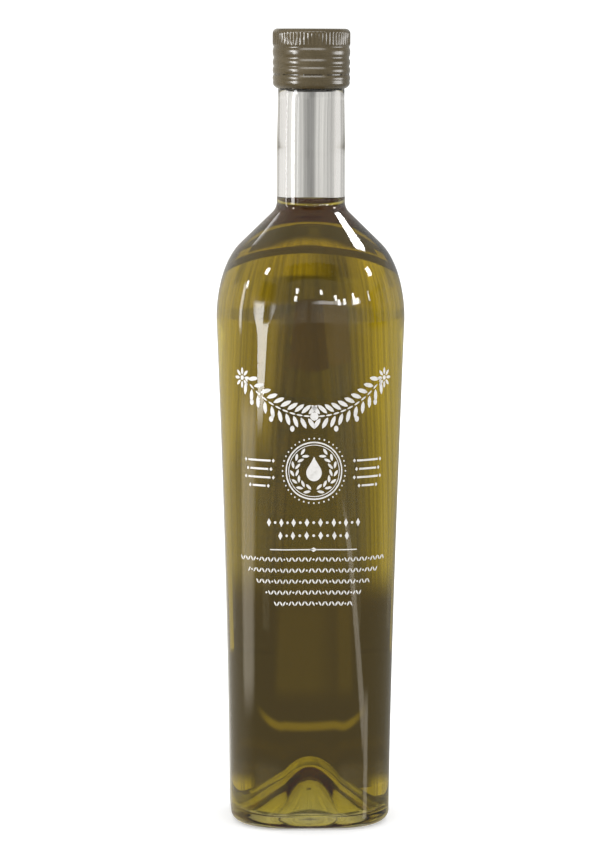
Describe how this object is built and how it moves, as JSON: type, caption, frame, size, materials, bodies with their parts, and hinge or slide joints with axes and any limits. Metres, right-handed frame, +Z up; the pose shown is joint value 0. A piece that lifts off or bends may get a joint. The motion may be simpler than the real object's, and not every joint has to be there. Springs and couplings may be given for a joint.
{
  "type": "olive oil bottle",
  "caption": "Tall clear glass bottle, round at the shoulder and square at the foot, filled with olive oil and shut with a dark knurled screw cap.",
  "frame": {"origin": "centre of the foot, on the surface that the bottle stands on", "axes": "+Z up along the bottle's axis, -Y towards the printed front, +X to the right of someone who faces the front"},
  "size_m": [0.0766, 0.0766, 0.323],
  "materials": {
    "clear_glass": "polished, clear",
    "oil": "clear golden green oil",
    "cap_lacquer": "glossy dark brown lacquer on aluminium"
  },
  "bodies": {
    "root": {"glass_bottle": "clear_glass", "olive_oil": "oil", "screw_cap": "cap_lacquer"}
  },
  "joints": []
}
